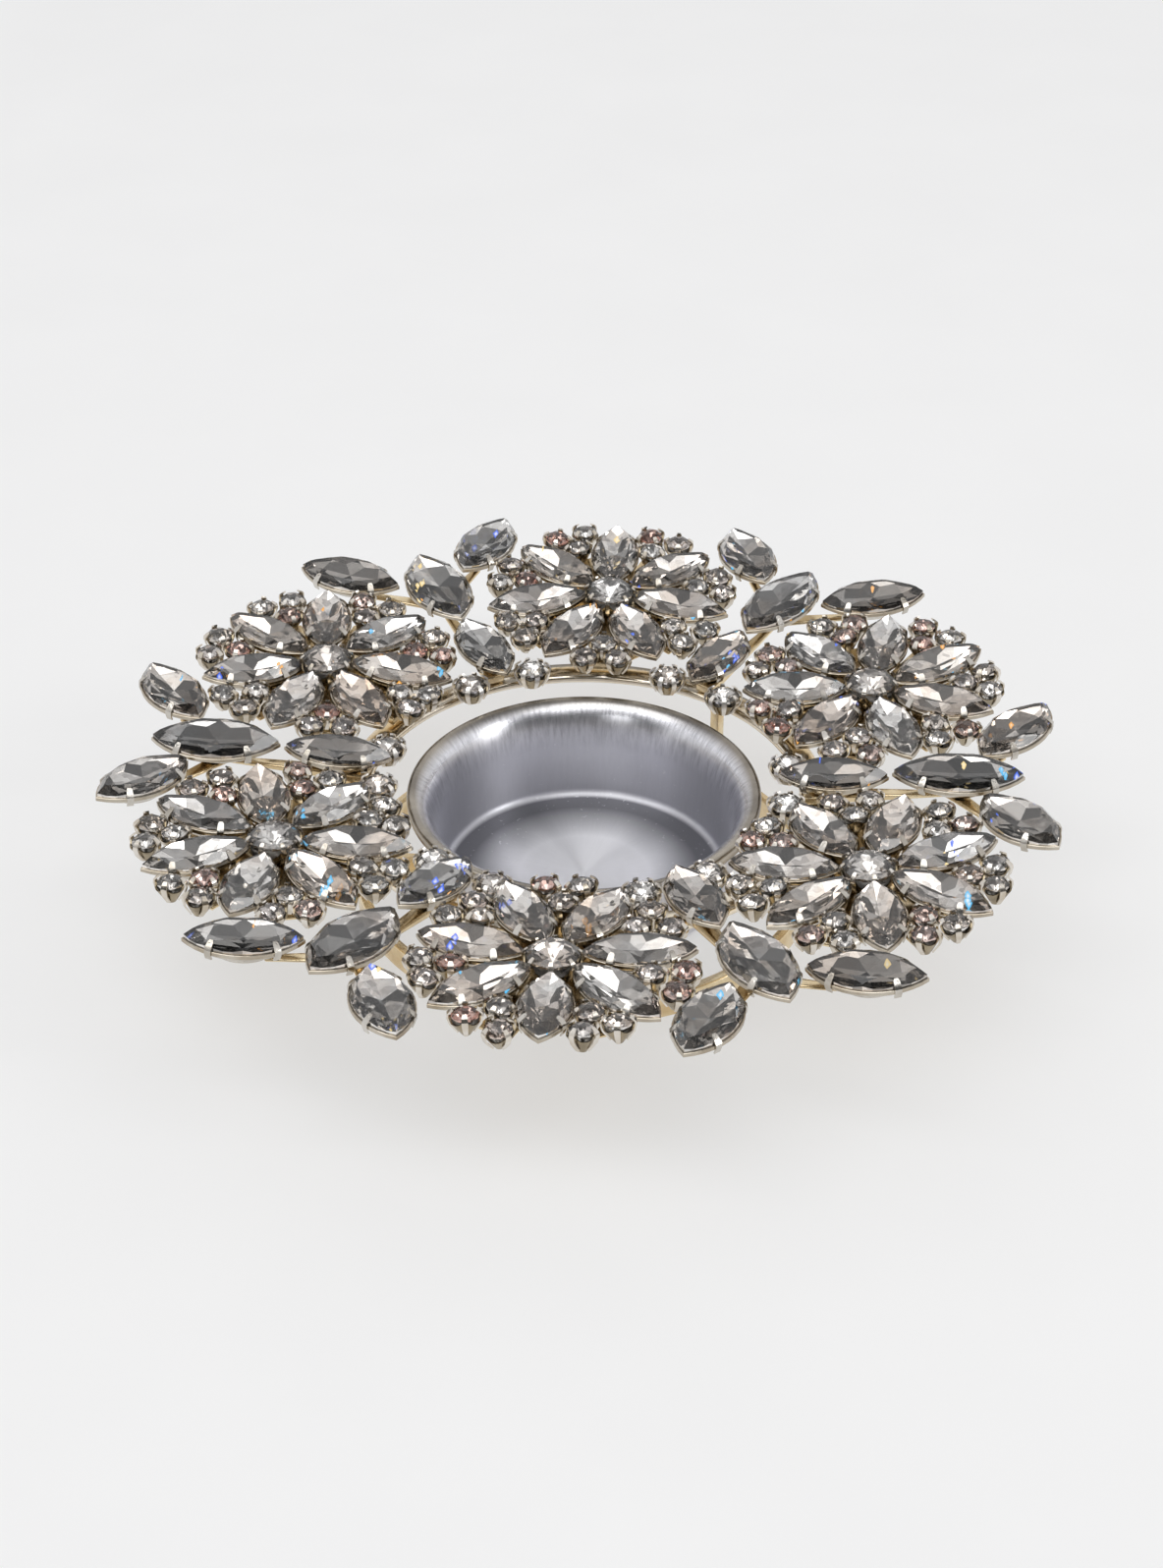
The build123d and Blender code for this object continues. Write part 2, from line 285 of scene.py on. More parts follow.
def map_range(tree, source, span, to_span):
    """Value that goes over one span while its source goes over another."""
    made = tree.nodes.new("ShaderNodeMapRange")
    made.inputs["From Min"].default_value = span[0]
    made.inputs["From Max"].default_value = span[1]
    made.inputs["To Min"].default_value = to_span[0]
    made.inputs["To Max"].default_value = to_span[1]
    tree.links.new(source, made.inputs["Value"])
    return made.outputs["Result"]


def mix(tree, factor, first, second, blend="MIX"):
    """Mix of two colours. The factor and the colours are sockets or plain values."""
    made = tree.nodes.new("ShaderNodeMix")
    made.data_type = "RGBA"
    made.blend_type = blend
    for value, socket in zip((factor, first, second), (made.inputs[0], made.inputs[6], made.inputs[7])):
        if isinstance(value, bpy.types.NodeSocket):
            tree.links.new(value, socket)
        else:
            socket.default_value = value
    return made.outputs[2]


def multiply(tree, first, second):
    made = tree.nodes.new("ShaderNodeMath")
    made.operation = "MULTIPLY"
    tree.links.new(first, made.inputs[0])
    tree.links.new(second, made.inputs[1])
    return made.outputs["Value"]


def bump(tree, source, shader, strength, distance):
    made = node(tree, "ShaderNodeBump", Strength=strength, Distance=distance)
    tree.links.new(source, made.inputs["Height"])
    tree.links.new(made.outputs["Normal"], shader.inputs["Normal"])


def grey(light):
    return (light, light, light)


# Materials

def gold(name, light, dark, roughness):
    """Plated metal with darker patches and a fine grain."""
    material, tree, shader = new_material(name)
    colours = ramp(tree, noise(tree, 260.0), [(0.32, dark), (0.62, light)])
    tree.links.new(colours, shader.inputs["Base Color"])
    shader.inputs["Metallic"].default_value = 1.0
    grain = noise(tree, 1400.0, 6.0)
    rough = map_range(tree, grain, (0.3, 0.7), roughness)
    tree.links.new(rough, shader.inputs["Roughness"])
    bump(tree, grain, shader, strength=0.12, distance=0.0002)
    return material


def crystal(name):
    """Clear glass with a trace of haze."""
    material, tree, shader = new_material(name)
    tree.links.new(facet_tint(tree)["Color"], shader.inputs["Base Color"])
    shader.inputs["Transmission Weight"].default_value = 1.0
    shader.inputs["IOR"].default_value = 1.56
    rough = map_range(tree, noise(tree, 120.0, 2.0), (0.4, 0.8), (0.0, 0.015))
    tree.links.new(rough, shader.inputs["Roughness"])
    return material


def painted_flashes(tree, place, tint, shader):
    """Painted flashes: a few small slivers of blue and orange glow on the foil, in place of the stones'
    fire. Returns how much of a place they cover.
    """
    distance, parts = cells(tree, stretched(tree, place, (1.5, 0.6, 1.0)), 760.0, "MANHATTAN")
    flash_stops = [
        (0.0, (0.05, 0.16, 0.9)),
        (0.30, (0.10, 0.55, 0.95)),
        (0.55, (1.0, 0.45, 0.06)),
        (0.8, (1.0, 0.75, 0.3)),
    ]
    colours = ramp(tree, parts["Green"], flash_stops, "CONSTANT")
    core = map_range(tree, distance, (0.1, 0.5), (0.8, 0.0))
    tree.links.new(mix(tree, core, colours, (1, 1, 0.95, 1)), shader.inputs["Emission Color"])
    lit = map_range(tree, parts["Red"], (0.980, 0.982), (0.0, 1.0))
    sliver = map_range(tree, distance, (0.64, 0.68), (1.0, 0.0))
    share = multiply(tree, multiply(tree, lit, sliver), tint["Alpha"])
    tree.links.new(share, shader.inputs["Emission Strength"])
    return share


def foil(name):
    """Mirror behind a stone: its facets' tints, with painted shade and light on the long stones, warmer
    worn patches, broken light and painted flashes.
    """
    material, tree, shader = new_material(name)
    tint = facet_tint(tree)
    place = object_place(tree)
    worn = ramp(tree, noise(tree, 160.0, 2.0), [(0.42, (0.96, 0.94, 0.91)), (0.66, (0.92, 0.83, 0.75))])
    shade = mix(tree, 1.0, tint["Color"], worn, "MULTIPLY")
    parts = cells(tree, place, 900.0)[1]
    chip_stops = [(0.0, (0.52, 0.51, 0.51)), (0.4, (0.85, 0.84, 0.83)), (0.75, grey(1.0))]
    chips = ramp(tree, parts["Blue"], chip_stops)
    pale = map_range(tree, tint["Color"], (0.25, 0.7), (0.0, 0.85))
    broken = mix(tree, pale, shade, chips, "MULTIPLY")
    share = painted_flashes(tree, place, tint, shader)
    tree.links.new(mix(tree, share, broken, (0.03, 0.03, 0.04, 1)), shader.inputs["Base Color"])
    shader.inputs["Metallic"].default_value = 0.86
    rough = map_range(tree, noise(tree, 90.0, 2.0), (0.3, 0.7), (0.02, 0.04))
    tree.links.new(rough, shader.inputs["Roughness"])
    return material


def spun_metal(name):
    """Turned sheet metal: fine strokes round the mouth, a dull floor, painted light on the floor and
    towards the mouth, a band of painted shade on the floor by the wall, and a bronze edge darkened with
    painted shade.
    """
    material, tree, shader = new_material(name)
    place = object_place(tree)
    split = tree.nodes.new("ShaderNodeSeparateXYZ")
    tree.links.new(place, split.inputs["Vector"])
    length = tree.nodes.new("ShaderNodeVectorMath")
    length.operation = "LENGTH"
    tree.links.new(combined(tree, X=split.outputs["X"], Y=split.outputs["Y"]), length.inputs[0])
    radius = length.outputs["Value"]
    turn = tree.nodes.new("ShaderNodeTexGradient")
    turn.gradient_type = "RADIAL"
    tree.links.new(place, turn.inputs["Vector"])
    unrolled = combined(tree, X=turn.outputs["Fac"], Y=split.outputs["Z"], Z=radius)
    strokes = node(tree, "ShaderNodeTexNoise", Scale=1.0, Detail=5.0, Roughness=0.65)
    tree.links.new(stretched(tree, unrolled, (260.0, 300.0, 300.0)), strokes.inputs["Vector"])
    height = map_range(tree, split.outputs["Z"], (0.0, CUP_SHADING_HEIGHT * MM), (0.0, 1.0))
    across = map_range(tree, radius, (0.0, CUP_SHADING_RADIUS * MM), (0.0, 1.0))

    # Lavender steel, with painted light: the floor and the mouth are painted lighter than the wall.
    steel_with_painted_light_stops = [
        (0.13, (0.94, 0.94, 0.97)),
        (0.17, (0.70, 0.70, 0.75)),
        (0.65, (0.72, 0.72, 0.77)),
        (0.85, (0.84, 0.84, 0.88)),
    ]
    steel_with_painted_light = ramp(tree, height, steel_with_painted_light_stops)
    # Painted shade and dark reflection: the floor darkens in a band before the wall and lifts again at the
    # fillet.
    dark = (0.22, 0.22, 0.23)
    corner = ramp(tree, across, [(0.38, grey(1.0)), (0.68, dark), (0.78, dark), (0.82, grey(1.0))])
    shaded = mix(tree, 1.0, steel_with_painted_light, corner, "MULTIPLY")
    worn = ramp(tree, strokes.outputs["Fac"], [(0.32, (0.68, 0.68, 0.69)), (0.58, grey(1.0))])
    mouth = map_range(tree, height, (0.60, 0.80), (0.1, 1.0))
    brushed = mix(tree, mouth, shaded, worn, "MULTIPLY")
    specks = map_range(tree, noise(tree, 1500.0, 2.0), (0.68, 0.74), (0.0, 0.35))
    specked = mix(tree, specks, brushed, (0.97, 0.97, 1.0, 1))
    # Bronze lip edge: partly its own colour, partly painted shade, darkened and widened to paint the dark
    # reflected band at the lip.
    bronze_and_painted_shade = ramp(tree, noise(tree, 90.0), [(0.35, (0.20, 0.17, 0.13)), (0.65, (0.46, 0.41, 0.33))])
    edge = map_range(tree, radius, (BRONZE_AND_SHADE_START * MM, BRONZE_AND_SHADE_END * MM), (0.0, 0.9))
    tree.links.new(mix(tree, edge, specked, bronze_and_painted_shade), shader.inputs["Base Color"])

    shader.inputs["Metallic"].default_value = 1.0
    dull_stops = [(0.13, grey(0.42)), (0.18, grey(0.44)), (0.7, grey(0.40)), (0.9, grey(0.27))]
    tree.links.new(ramp(tree, height, dull_stops), shader.inputs["Roughness"])
    streaks = map_range(tree, height, (0.13, 0.18), (0.9, 0.6))
    tree.links.new(streaks, shader.inputs["Anisotropic"])
    shader.inputs["Anisotropic Rotation"].default_value = 0.25
    around = tree.nodes.new("ShaderNodeTangent")
    around.direction_type = "RADIAL"
    around.axis = "Z"
    tree.links.new(around.outputs["Tangent"], shader.inputs["Tangent"])
    bump(tree, strokes.outputs["Fac"], shader, strength=0.05, distance=0.0002)
    return material


def pale_floor(name):
    """Studio floor with a faint glow of its own."""
    material, tree, shader = new_material(name)
    colours = ramp(tree, noise(tree, 30.0, 3.0), [(0.3, grey(0.368)), (0.7, grey(0.374))])
    tree.links.new(colours, shader.inputs["Base Color"])
    tree.links.new(colours, shader.inputs["Emission Color"])
    shader.inputs["Emission Strength"].default_value = 1.42
    shader.inputs["Roughness"].default_value = 0.8
    return material


frame_gold = gold("frame_gold", (0.88, 0.74, 0.50), (0.70, 0.53, 0.30), (0.14, 0.30))
ring_gold = gold("ring_gold", (0.93, 0.86, 0.74), (0.86, 0.75, 0.58), (0.12, 0.24))
claw_gold = gold("claw_gold", (0.80, 0.76, 0.70), (0.60, 0.53, 0.43), (0.12, 0.28))
ring_claw = gold("ring_claw", (0.95, 0.92, 0.87), (0.82, 0.77, 0.70), (0.24, 0.40))
tray_claw = gold("tray_claw", (0.66, 0.63, 0.58), (0.46, 0.42, 0.36), (0.08, 0.22))
tray_gold = gold("tray_gold", (0.56, 0.51, 0.43), (0.36, 0.30, 0.22), (0.14, 0.30))
cone_gold = gold("cone_gold", (0.40, 0.33, 0.22), (0.20, 0.16, 0.10), (0.16, 0.32))
tray_inside = gold("tray_inside", (0.50, 0.48, 0.45), (0.34, 0.32, 0.29), (0.22, 0.40))
clear_glass = crystal("clear_glass")
foil_back = foil("foil_back")
cup_metal = spun_metal("cup_metal")
floor_paint = pale_floor("pale_floor")


# Outlines of the stones

class Navette:
    """Outline of a pointed oval: two arcs that meet at the tips."""

    def __init__(self, length, width):
        self.length = length
        self.width = width
        self.radius = (length**2 + width**2) / (4 * width)
        self.reach = math.asin(length / 2 / self.radius)
        self.half_length = length / 2

    def grown(self, margin, share=1.0):
        return Navette((self.length + 2 * margin) * share, (self.width + 2 * margin) * share)

    def spot(self, share, side):
        """Point, outward direction and along direction at a share of the arc, on one side."""
        turn = self.reach * share
        out = Vector((math.sin(turn), math.cos(turn), 0)) * side
        point = out * self.radius - Vector((0, self.radius - self.width / 2, 0)) * side
        return point, out, Vector((out.y, -out.x, 0))

    def spots(self, shares):
        return [self.spot(share, side) for side in (1, -1) for share in shares]

    def ring(self, height, steps=14):
        points = []
        for side in (1, -1):
            for step in range(steps):
                points.append(self.spot(1 - 2 * step / steps, side)[0] + upright(height))
        return points


class Round:
    """Outline of a circle."""

    def __init__(self, radius):
        self.radius = radius
        self.half_length = radius

    def grown(self, margin, share=1.0):
        return Round((self.radius + margin) * share)

    def spot(self, degrees):
        """Point, outward direction and along direction at an angle."""
        turn = math.radians(degrees)
        out = Vector((math.cos(turn), math.sin(turn), 0))
        return out * self.radius, out, Vector((-out.y, out.x, 0))

    def ring(self, height, steps=16):
        return [self.spot(360 * step / steps)[0] + upright(height) for step in range(steps)]


# Stones, cut from a prism by flat planes

def downward(vector):
    vector = vector.normalized()
    return vector if vector.z < 0 else -vector


def sloped(out, degrees):
    """Direction that leans outwards from upright."""
    return out * math.sin(math.radians(degrees)) + upright(math.cos(math.radians(degrees)))


@dataclass
class Cut:
    """How a stone is cut: heights in millimetres, slopes in degrees and the place of its stars."""

    culet: float
    girdle: float
    belt: float
    crown: float
    crown_slope: float
    star_slope: float
    star_share: float
    inner_lift: float = 0.0


def cut_planes(spots, stars, cut):
    """Place and outward direction of each plane of a stone's crown and back."""
    top = cut.girdle + cut.belt
    culet = upright(cut.culet)
    depth = upright(cut.girdle - cut.culet)
    planes = [(upright(top + cut.crown), upright(1))]
    for point, out, along in spots:
        planes.append((point + upright(top), sloped(out, cut.crown_slope)))
        planes.append((culet, downward(along.cross(-point - depth))))
    star_run = cut.crown / math.tan(math.radians(cut.crown_slope)) * cut.star_share
    for point, out, along in stars:
        place = point - out * star_run + upright(top + cut.crown * cut.star_share)
        planes.append((place, sloped(out, cut.star_slope)))
        if cut.inner_lift:
            raised = culet + upright(cut.inner_lift)
            ledge = culet + (point + depth) * RIM_SHARE
            planes.append((raised, downward(along.cross(raised - ledge))))
    return planes


def cut_stone(outline, spots, stars, cut):
    """Faceted stone with a glass crown, and a mirror back whose rim is told apart by its spread, which sets
    its painted shade and light.
    """
    prism = bmesh.new()
    low = [prism.verts.new(point) for point in outline.ring(cut.culet - 1)]
    high = [prism.verts.new(point) for point in outline.ring(cut.girdle + cut.belt + cut.crown + 1)]
    prism.faces.new(list(reversed(low)))
    prism.faces.new(high)
    for here in range(len(low)):
        there = (here + 1) % len(low)
        prism.faces.new((low[here], low[there], high[there], high[here]))
    for place, normal in cut_planes(spots, stars, cut):
        everything = prism.verts[:] + prism.edges[:] + prism.faces[:]
        bmesh.ops.bisect_plane(
            prism, geom=everything, dist=1e-5, plane_co=place, plane_no=normal, clear_outer=True
        )
        open_edges = [edge for edge in prism.edges if edge.is_boundary]
        if open_edges:
            bmesh.ops.holes_fill(prism, edges=open_edges)
    bmesh.ops.recalc_face_normals(prism, faces=prism.faces[:])
    prism.verts.index_update()
    shape = Shape()
    shape.corners = [vertex.co.copy() for vertex in prism.verts]
    rim = cut.culet + RIM_SHARE * (cut.girdle - cut.culet)
    for facet in prism.faces:
        middle = facet.calc_center_median()
        at_rim = abs(facet.normal.z) < 0.1 or middle.z > rim
        spread = 1.0 if at_rim else abs(middle.x) / outline.half_length
        material = 1 if facet.normal.z < 0.1 else 0
        shape.face([vertex.index for vertex in facet.verts], material, spread=spread)
    prism.free()
    return shape


def navette_stone(length, width, inner_lift):
    """Long stone whose back has a shallow middle, lifted by inner_lift, inside a steeper rim."""
    outline = Navette(length, width)
    cut = Cut(
        culet=NAVETTE_CULET,
        girdle=NAVETTE_GIRDLE,
        belt=0.4,
        crown=1.2,
        crown_slope=50,
        star_slope=30,
        star_share=0.8,
        inner_lift=inner_lift,
    )
    spots = outline.spots((-0.78, -0.27, 0.27, 0.78))
    stars = outline.spots((-0.55, 0, 0.55))
    return cut_stone(outline, spots, stars, cut)


def round_stone(radius, girdle, back_slope):
    """Round stone of eight sides with a pointed back."""
    outline = Round(radius)
    sides = 8
    cut = Cut(
        culet=girdle - radius * math.tan(math.radians(back_slope)),
        girdle=girdle,
        belt=0.12,
        crown=radius * 0.42,
        crown_slope=40,
        star_slope=23,
        star_share=0.6,
    )
    spots = [outline.spot(360 / sides * index) for index in range(sides)]
    stars = [outline.spot(360 / sides * (index + 0.5)) for index in range(sides)]
    return cut_stone(outline, spots, stars, cut)


# Settings

def tab(shape, spot, path, width, thickness):
    """Claw: a strip at one spot of an outline, along a path of (outward, height, width share)."""
    point, out, along = spot
    rings = []
    for index, (offset, height, share) in enumerate(path):
        before = path[max(index - 1, 0)]
        after = path[min(index + 1, len(path) - 1)]
        run = Vector((after[0] - before[0], after[1] - before[1])).normalized()
        skin = (out * run.y - upright(1) * run.x) * thickness
        middle = point + out * offset + upright(height)
        half = along * width * share / 2
        rings.append([middle - half, middle + half, middle + half + skin, middle - half + skin])
    shape.rings(rings)


def navette_tray(length, width):
    """Thin tray of a long stone, from its foot over the rim into its pocket, with four claws."""
    wall = 0.24
    girdle = NAVETTE_GIRDLE
    rim = girdle + 0.1
    outline = Navette(length, width)
    # Margin round the stone, share of its outline and height of each ring
    levels = [
        (wall, 0.45, 0),
        (wall, 0.52, 0.35),
        (wall, 0.93, girdle * 0.68),
        (wall + 0.03, 1.0, girdle * 0.82),
        (wall + 0.05, 1.0, rim - 0.06),
        (wall - 0.05, 1.0, rim),
        (0.06, 1.0, rim - 0.06),
        (0.05, 1.0, girdle * 0.86),
        (0.0, 0.82, girdle * 0.54),
        (0.0, 0.42, 0.42),
    ]
    claw_path = [
        (wall - 0.30, girdle * 0.55, 1.0),
        (wall + 0.02, girdle * 0.88, 1.0),
        (wall + 0.04, girdle + 0.22, 1.0),
        (0.02, girdle + 0.52, 0.96),
        (-0.55, girdle + 0.98, 0.82),
        (-0.80, girdle + 1.14, 0.5),
    ]
    shape = Shape()
    rings = [outline.grown(margin, share).ring(height) for margin, share, height in levels]
    shape.rings(rings, hollow_from=6, outside=2)
    for spot in outline.spots((-0.5, 0.5)):
        tab(shape, spot, claw_path, width=0.95, thickness=0.2)
    return shape


def claw_cup(radius, base, girdle, claws, claw_width, low_share):
    """Cone of a round stone. Its wall dips to low_share between the claws, which run down it as ribs."""
    wall = 0.28
    steps = 32
    outline = Round(radius)
    foot = Round(base)

    def scalloped(share, margin, top):
        points = []
        for step in range(steps):
            degrees = 360 * step / steps
            rise = 0.5 + 0.5 * math.cos(math.radians(claws * degrees))
            level = top * (low_share + (1 - low_share) * rise * rise)
            reach = base + (radius - base) * share + margin
            points.append(Round(reach).spot(degrees)[0] + upright(level))
        return points

    claw_path = [
        ((base - radius) * 0.86 + wall * 0.6, girdle * 0.15, 0.6),
        (wall - 0.24, girdle * 0.62, 0.85),
        (wall, girdle * 0.95, 1.0),
        (wall - 0.04, girdle + 0.25, 0.95),
        (-0.02, girdle + 0.5, 0.85),
        (-0.42, girdle + 0.78, 0.6),
    ]
    rings = [
        foot.ring(0, steps),
        foot.grown(wall * 0.8).ring(girdle * 0.12, steps),
        scalloped(0.66, wall, girdle * 0.7),
        scalloped(1.0, wall, girdle + 0.06),
        scalloped(1.0, 0.05, girdle + 0.06),
        scalloped(0.6, 0.0, girdle * 0.5),
        foot.grown(0, 0.7).ring(0.3, steps),
    ]
    shape = Shape()
    shape.rings(rings, hollow_from=4, outside=2)
    for claw in range(claws):
        tab(shape, outline.spot(360 / claws * claw), claw_path, claw_width, thickness=0.24)
    return shape


petal_tray = navette_tray(PETAL_LENGTH, PETAL_WIDTH)
middle_tray = navette_tray(MIDDLE_LEAF_LENGTH, MIDDLE_LEAF_WIDTH)
outer_tray = navette_tray(OUTER_LEAF_LENGTH, OUTER_LEAF_WIDTH)
petal_stone = navette_stone(PETAL_LENGTH, PETAL_WIDTH, inner_lift=0.2)
inner_stone = navette_stone(PETAL_LENGTH, PETAL_WIDTH, inner_lift=0.5)
middle_stone = navette_stone(MIDDLE_LEAF_LENGTH, MIDDLE_LEAF_WIDTH, inner_lift=0.5)
outer_stone = navette_stone(OUTER_LEAF_LENGTH, OUTER_LEAF_WIDTH, inner_lift=0.5)
cluster_stone = round_stone(CLUSTER_STONE_RADIUS, CLUSTER_GIRDLE, back_slope=37)
cluster_cup = claw_cup(
    CLUSTER_STONE_RADIUS, CLUSTER_FOOT, CLUSTER_GIRDLE, CLUSTER_CLAWS, claw_width=0.85, low_share=0.78
)
centre_stone = round_stone(CENTRE_STONE_RADIUS, CENTRE_GIRDLE, back_slope=27)
centre_cup = claw_cup(
    CENTRE_STONE_RADIUS, CENTRE_FOOT, CENTRE_GIRDLE, CENTRE_CLAWS, claw_width=0.7, low_share=0.6
)
ring_stone = round_stone(RING_STONE_RADIUS, RING_GIRDLE, back_slope=26)
ring_cup = claw_cup(RING_STONE_RADIUS, RING_FOOT, RING_GIRDLE, RING_CLAWS, claw_width=0.75, low_share=0.75)


# Where the settings stand

def wreath(angle):
    """Top of the frames at one angle round the ring: x outward, z along the dish's normal."""
    tilt = math.radians(DISH_ANGLE)
    turn = math.radians(angle)
    outward = Vector((math.cos(turn), math.sin(turn), 0))
    normal = upright(math.cos(tilt)) - outward * math.sin(tilt)
    along = outward * math.cos(tilt) + upright(math.sin(tilt))
    side = normal.cross(along)
    centre = upright(RING_TOP + SOLDER_GAP - RING_RADIUS * math.tan(tilt)) + normal * FRAME_THICKNESS
    return Matrix.Translation(centre) @ Matrix((along, side, normal)).transposed().to_4x4()


def at(x, y, degrees=0.0):
    """Move and turn in the plane of the frames."""
    return Matrix.Translation((x, y, 0)) @ Matrix.Rotation(math.radians(degrees), 4, "Z")


def flower_angle(number):
    return 90 - SEGMENT_TURN * (number - 1)


def sprig_angle(number):
    return flower_angle(number) - SEGMENT_TURN / 2


def wobble(tilt, lift):
    """Small lean and lift of one setting, as soldered by hand."""
    lean = [math.radians(dice.uniform(-tilt, tilt)) for axis in "XYZ"]
    turn = [Matrix.Rotation(angle, 4, axis) for angle, axis in zip(lean, "XYZ")]
    return Matrix.Translation((0, 0, dice.uniform(0, lift))) @ turn[0] @ turn[1] @ turn[2]


# Colours of the stones' facets, for a stone that lies across the front by a share from 0 to 1. On the long
# stones these are painted shade and light on the back, which change with how the stone lies.

def long_painted_shade(depth, fade, least, most):
    """Long stone: painted shade and light on its back, darkest in the middle and paler towards the tips and
    the rim.
    """
    warm = dice.uniform(-0.01, 0.03)

    def colour(material, spread):
        light = 0.97 if material == 0 else min(0.95, (depth + fade * spread) * dice.uniform(least, most))
        return (light * (1 + warm), light, light * (1 - warm), 1)

    return colour


def petal_painted_shade(across):
    depth = dice.uniform(0.34, 0.60) * (1 - 0.5 * across)
    return long_painted_shade(depth, fade=1.7 - 0.7 * across, least=0.6, most=1.5)


def leaf_painted_shade(across):
    """Leaves are darker than petals: deeper painted shade on their backs."""
    depth = dice.uniform(0.10, 0.24) * (1 - 0.6 * across)
    return long_painted_shade(depth, fade=1.4 - 0.95 * across, least=0.5, most=1.8)


def clear_tint(across, blushes=(0.0,)):
    """Round stone, alike however it lies, with a blush that is drawn for the whole stone."""
    blush = dice.choice(blushes)

    def colour(material, spread):
        light = 0.97 if material == 0 else dice.uniform(0.75, 1.0)
        rose = blush if material == 1 else 0.0
        return (light * (1 - rose / 3), light * (1 - rose), light * (1 - rose * 1.15), 0)

    return colour


def rosy_tint(across):
    return clear_tint(across, (0.0, 0.0, 0.0, 0.06, 0.25, 0.38))


# Settings and stones of the wreath

def dress(name, spots, setting_nodes, stone_nodes, lean, metals):
    """Settings and stones of one group, as two pieces."""
    settings = Shape()
    stones = Shape()
    for tray, stone, matrix, tint in spots:
        placed = matrix @ wobble(*lean)
        settings.add(tray, placed)
        # On the long stones the facet colours are painted shade and light, set by how far the stone lies
        # across the front.
        stones.add(stone, placed, tint(placed.col[0].x ** 2))
    claw, wall = metals
    metal = settings.build(f"{name}_claws", [claw, tray_inside, wall], sharp=40.0)
    stand(metal, setting_nodes)
    glass = stones.build(f"{name}_crystals", [clear_glass, foil_back], sharp=1.0)
    stand(glass, stone_nodes)


def flower_petals(flower):
    petals = []
    for index in range(PETALS):
        place = flower @ at(0, 0, PETAL_TURN * index) @ at(PETAL_DISTANCE, 0)
        petals.append((petal_tray, petal_stone, place, petal_painted_shade))
    return petals


def flower_clusters(flower):
    """Three small stones between each pair of petals: one near the centre and two further out."""
    cluster = []
    for index in range(PETALS):
        between = flower @ at(0, 0, PETAL_TURN * (index + 0.5))
        places = [at(CLUSTER_NEAR, 0)]
        for side in (1, -1):
            places.append(at(CLUSTER_FAR, side * CLUSTER_CLAW_RADIUS, -side * CLUSTER_CUP_TURN))
        cluster += [(cluster_cup, cluster_stone, between @ place, rosy_tint) for place in places]
    return cluster


def sprig_leaves(sprig):
    leaves = [
        (petal_tray, inner_stone, sprig @ at(INNER_LEAF_OUT, 0), leaf_painted_shade),
        (middle_tray, middle_stone, sprig @ at(MIDDLE_LEAF_OUT, 0), leaf_painted_shade),
    ]
    for side in (1, -1):
        place = sprig @ at(OUTER_LEAF_OUT, side * OUTER_LEAF_ASIDE, side * FORK_ANGLE)
        leaves.append((outer_tray, outer_stone, place, leaf_painted_shade))
    return leaves


def ring_places(angle):
    """Places of the two ring stones beside a flower."""
    level = Matrix.Translation(upright(RING_TOP + SOLDER_GAP))
    turns = [angle + side * RING_STONE_ANGLE for side in (1, -1)]
    return [level @ at(0, 0, turn) @ at(RING_STONE_CIRCLE, 0) for turn in turns]


# Greatest lean in degrees and lift in millimetres, and the metals of claws and walls
TRAY_LEAN = (2.5, 0.2)
CLUSTER_LEAN = (6.0, 0.4)
ROUND_LEAN = (2.0, 0.0)
TRAY_METALS = (tray_claw, tray_gold)
CUP_METALS = (claw_gold, cone_gold)
RING_METALS = (ring_claw, cone_gold)

centres = []
ring_stones = []
for number in range(1, SEGMENTS + 1):
    flower = wreath(flower_angle(number)) @ at(FLOWER_CIRCLE, 0)
    sprig = wreath(sprig_angle(number))
    groups = [
        ("petals", "petal", flower_petals(flower), TRAY_LEAN, TRAY_METALS),
        ("cluster", "cluster", flower_clusters(flower), CLUSTER_LEAN, CUP_METALS),
        ("leaves", "leaf", sprig_leaves(sprig), TRAY_LEAN, TRAY_METALS),
    ]
    for name, kind, spots, lean, metals in groups:
        settings = f"{kind}_settings_{number}"
        stones = f"{kind}_stones_{number}"
        dress(f"{name}_{number}", spots, settings, stones, lean, metals)
    centres.append((centre_cup, centre_stone, flower, clear_tint))
    for place in ring_places(flower_angle(number)):
        ring_stones.append((ring_cup, ring_stone, place, clear_tint))
dress("centres", centres, "centre_settings", "centre_stones", ROUND_LEAN, CUP_METALS)
dress("ring", ring_stones, "ring_settings", "ring_stones", ROUND_LEAN, RING_METALS)


# Frames, legs and foot with softened edges

def thinned(spot):
    """Corner of a frame, with the frame thinner outside the ring."""
    if spot.z < -FRAME_THICKNESS / 2 and spot.xy.length > THIN_FROM:
        spot.z = -FRAME_END_THICKNESS
    return spot


def flower_corner(spot):
    """Corner of a flower frame, with the arms under the clusters pulled in."""
    spot = thinned(spot)
    middle = Vector((FLOWER_CIRCLE, 0, spot.z))
    if (spot - middle).length > CLUSTER_NEAR:
        spot = middle + (spot - middle) * CLUSTER_ARM_SHARE
    return spot


def sprig_corner(spot):
    """Corner of a sprig frame, with its stem and its two arms narrower outside the ring."""
    spot = thinned(spot)
    if abs(spot.y) > OUTER_LEAF_ASIDE / 2:
        side = math.copysign(1, spot.y)
        leaf = at(OUTER_LEAF_OUT, OUTER_LEAF_ASIDE * side, FORK_ANGLE * side)
        spot = leaf.inverted() @ spot
        spot.y *= ARM_END_SHARE
        spot = leaf @ spot
    elif spot.x > THIN_FROM:
        spot.y *= ARM_END_SHARE
    return spot


